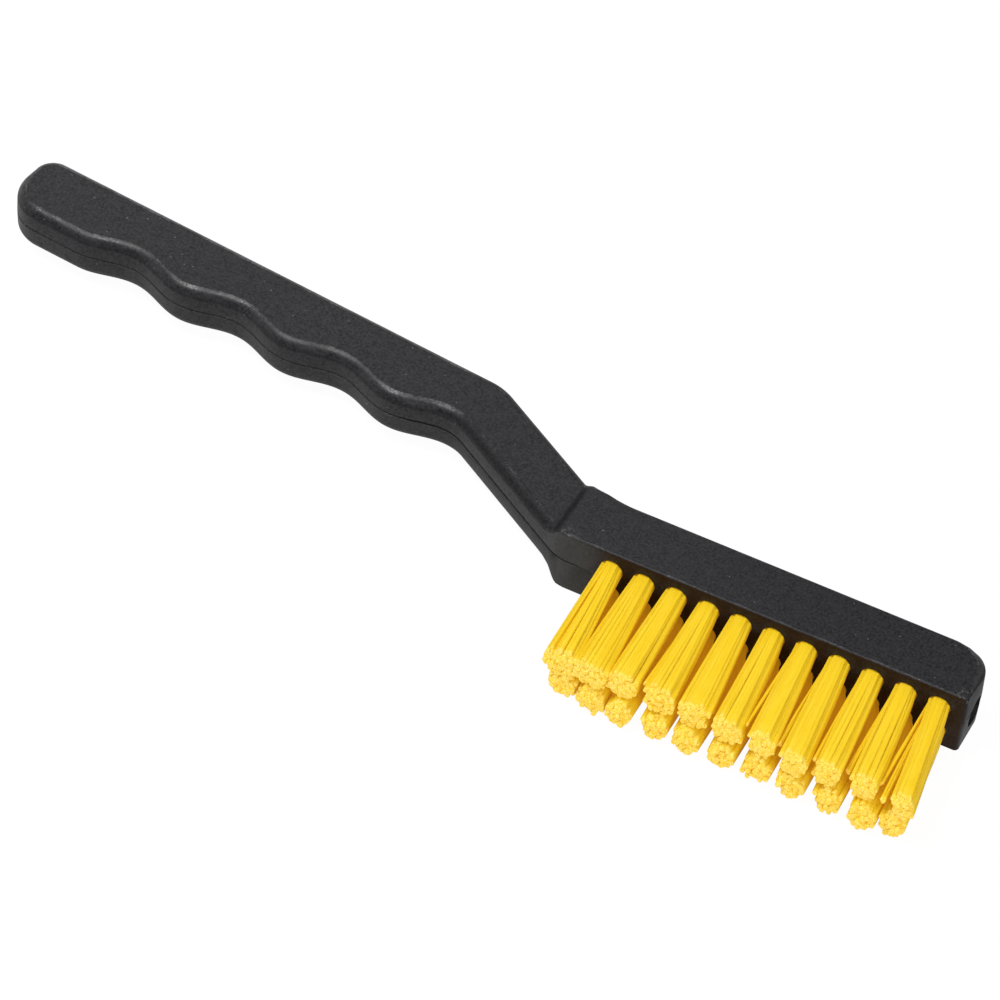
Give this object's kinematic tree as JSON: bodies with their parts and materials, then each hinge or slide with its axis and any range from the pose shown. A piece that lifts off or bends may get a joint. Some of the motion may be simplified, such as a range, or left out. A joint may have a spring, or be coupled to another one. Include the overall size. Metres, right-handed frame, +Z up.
{
  "type": "anti-static brush",
  "caption": "Slim anti-static hand brush: a one-piece moulded handle with finger grooves and a cranked neck, and a straight head carrying paired rows of stiff yellow filament tufts.",
  "frame": {"origin": "bottom centre of the whole brush's box, on the surface that the brush lies on", "axes": "+X runs along the head towards its tip, -Y is the way the bristles point, and +Z is up, square to the handle's flat side"},
  "size_m": [0.1772, 0.056, 0.0113],
  "materials": {
    "handle_plastic": "matt near-black moulded plastic with a fine grain, as conductive-filled mouldings have",
    "bristle": "bright yellow, slightly translucent extruded filament with a soft sheen",
    "anchor_metal": "plain drawn flat wire, cut to length"
  },
  "bodies": {
    "root": {"handle": "handle_plastic", "tuft_upper_01": "bristle", "tuft_upper_02": "bristle", "tuft_upper_03": "bristle", "tuft_upper_04": "bristle", "tuft_upper_05": "bristle", "tuft_upper_06": "bristle", "tuft_upper_07": "bristle", "tuft_upper_08": "bristle", "tuft_upper_09": "bristle", "tuft_upper_10": "bristle", "tuft_upper_11": "bristle", "tuft_lower_01": "bristle", "tuft_lower_02": "bristle", "tuft_lower_03": "bristle", "tuft_lower_04": "bristle", "tuft_lower_05": "bristle", "tuft_lower_06": "bristle", "tuft_lower_07": "bristle", "tuft_lower_08": "bristle", "tuft_lower_09": "bristle", "tuft_lower_10": "bristle", "tuft_lower_11": "bristle", "anchor_upper_01": "anchor_metal", "anchor_upper_02": "anchor_metal", "anchor_upper_03": "anchor_metal", "anchor_upper_04": "anchor_metal", "anchor_upper_05": "anchor_metal", "anchor_upper_06": "anchor_metal", "anchor_upper_07": "anchor_metal", "anchor_upper_08": "anchor_metal", "anchor_upper_09": "anchor_metal", "anchor_upper_10": "anchor_metal", "anchor_upper_11": "anchor_metal", "anchor_lower_01": "anchor_metal", "anchor_lower_02": "anchor_metal", "anchor_lower_03": "anchor_metal", "anchor_lower_04": "anchor_metal", "anchor_lower_05": "anchor_metal", "anchor_lower_06": "anchor_metal", "anchor_lower_07": "anchor_metal", "anchor_lower_08": "anchor_metal", "anchor_lower_09": "anchor_metal", "anchor_lower_10": "anchor_metal", "anchor_lower_11": "anchor_metal"}
  },
  "joints": []
}
